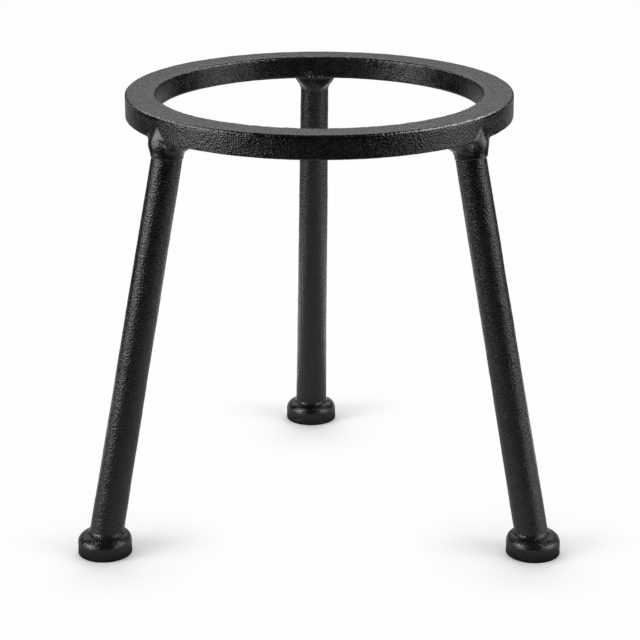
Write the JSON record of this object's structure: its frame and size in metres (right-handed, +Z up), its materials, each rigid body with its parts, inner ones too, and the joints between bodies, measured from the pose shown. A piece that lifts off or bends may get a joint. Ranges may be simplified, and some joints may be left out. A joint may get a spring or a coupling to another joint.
{
  "type": "lab tripod stand",
  "caption": "Tripod stand: a flat black ring on splayed round legs with disc feet, welded under the ring, to hold glassware over a burner.",
  "frame": {"origin": "on the bench, straight under the centre of the ring, where the burner stands", "axes": "+Z up along the ring's centre line, +Y towards the back leg, +X to the right seen from the two front legs"},
  "size_m": [0.1881, 0.18, 0.173],
  "materials": {
    "ring_paint": "black textured paint, satin, with a fine leathery orange peel",
    "leg_paint": "black textured paint, satin, smoother on the feet",
    "weld_paint": "black paint, glossy over the weld metal"
  },
  "bodies": {
    "root": {"ring": "ring_paint", "leg_left": "leg_paint", "leg_right": "leg_paint", "leg_back": "leg_paint", "weld_left": "weld_paint", "weld_right": "weld_paint", "weld_back": "weld_paint"}
  },
  "joints": []
}
